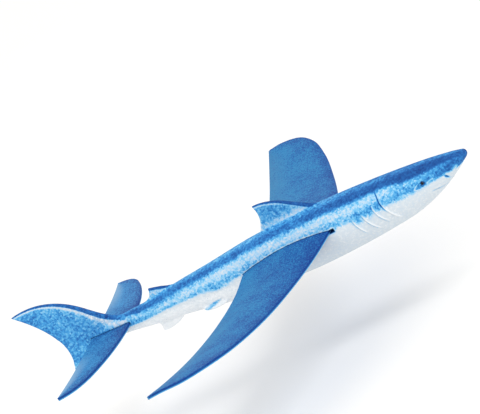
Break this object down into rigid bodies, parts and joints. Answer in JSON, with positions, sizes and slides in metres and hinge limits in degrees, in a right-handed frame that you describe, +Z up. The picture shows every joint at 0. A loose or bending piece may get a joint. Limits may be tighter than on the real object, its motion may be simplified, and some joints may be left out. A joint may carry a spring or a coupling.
{
  "type": "foam hand glider",
  "caption": "Shark-shaped foam hand-launch glider with plug-in cambered wings, a push-through tailplane and moulded upright fins.",
  "frame": {"origin": "centre of the bounding box at its lowest level, which is the flat under the belly and the tip of the lower tail lobe", "axes": "+X to the snout, +Y to the left wing tip, +Z up through the back"},
  "size_m": [0.4834, 0.5492, 0.0871],
  "materials": {
    "moulded_foam": "satin",
    "wing_sheet_foam": "matte",
    "tail_sheet_foam": "matte",
    "weight_steel": "satin",
    "eye_plastic": "gloss"
  },
  "bodies": {
    "fuselage": {"fuselage_left_half": "moulded_foam", "fuselage_right_half": "moulded_foam", "nose_weight": "weight_steel", "eye_left": "eye_plastic", "eye_right": "eye_plastic"},
    "left_wing_panel": {"left_wing": "wing_sheet_foam"},
    "right_wing_panel": {"right_wing": "wing_sheet_foam"},
    "tail_sheet": {"tailplane": "tail_sheet_foam"}
  },
  "joints": [
    {"name": "left_wing_pull_out", "type": "slide", "parent": "fuselage", "child": "left_wing_panel", "axis": [0, 1, 0], "range_m": [0, 0.026]},
    {"name": "right_wing_pull_out", "type": "slide", "parent": "fuselage", "child": "right_wing_panel", "axis": [0, -1, 0], "range_m": [0, 0.026]},
    {"name": "tailplane_push_through", "type": "slide", "parent": "fuselage", "child": "tail_sheet", "axis": [0, 1, 0], "range_m": [-0.14, 0.14]}
  ]
}
